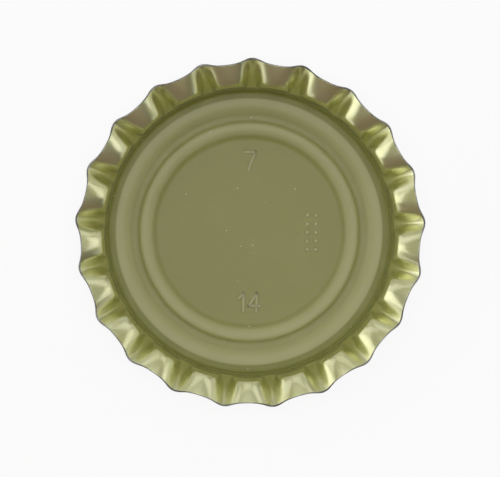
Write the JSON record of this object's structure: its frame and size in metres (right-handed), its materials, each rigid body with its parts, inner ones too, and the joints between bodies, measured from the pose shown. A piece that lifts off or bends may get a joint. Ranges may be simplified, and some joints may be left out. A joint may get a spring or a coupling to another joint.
{
  "type": "bottle cap",
  "caption": "Round pry-off bottle cap lying open side up: a fluted metal shell with a flared toothed skirt, holding a moulded sealing liner with raised rings.",
  "frame": {"origin": "on the cap's axis, at the bottom of the panel that it lies on", "axes": "+Z along the cap's axis, out of its open side; +Y points to the tip of a tooth"},
  "size_m": [0.032, 0.032, 0.006],
  "materials": {
    "lacquered_tinplate": "satin",
    "liner_compound": "satin"
  },
  "bodies": {
    "root": {"crown_shell": "lacquered_tinplate", "liner": "liner_compound"}
  },
  "joints": []
}
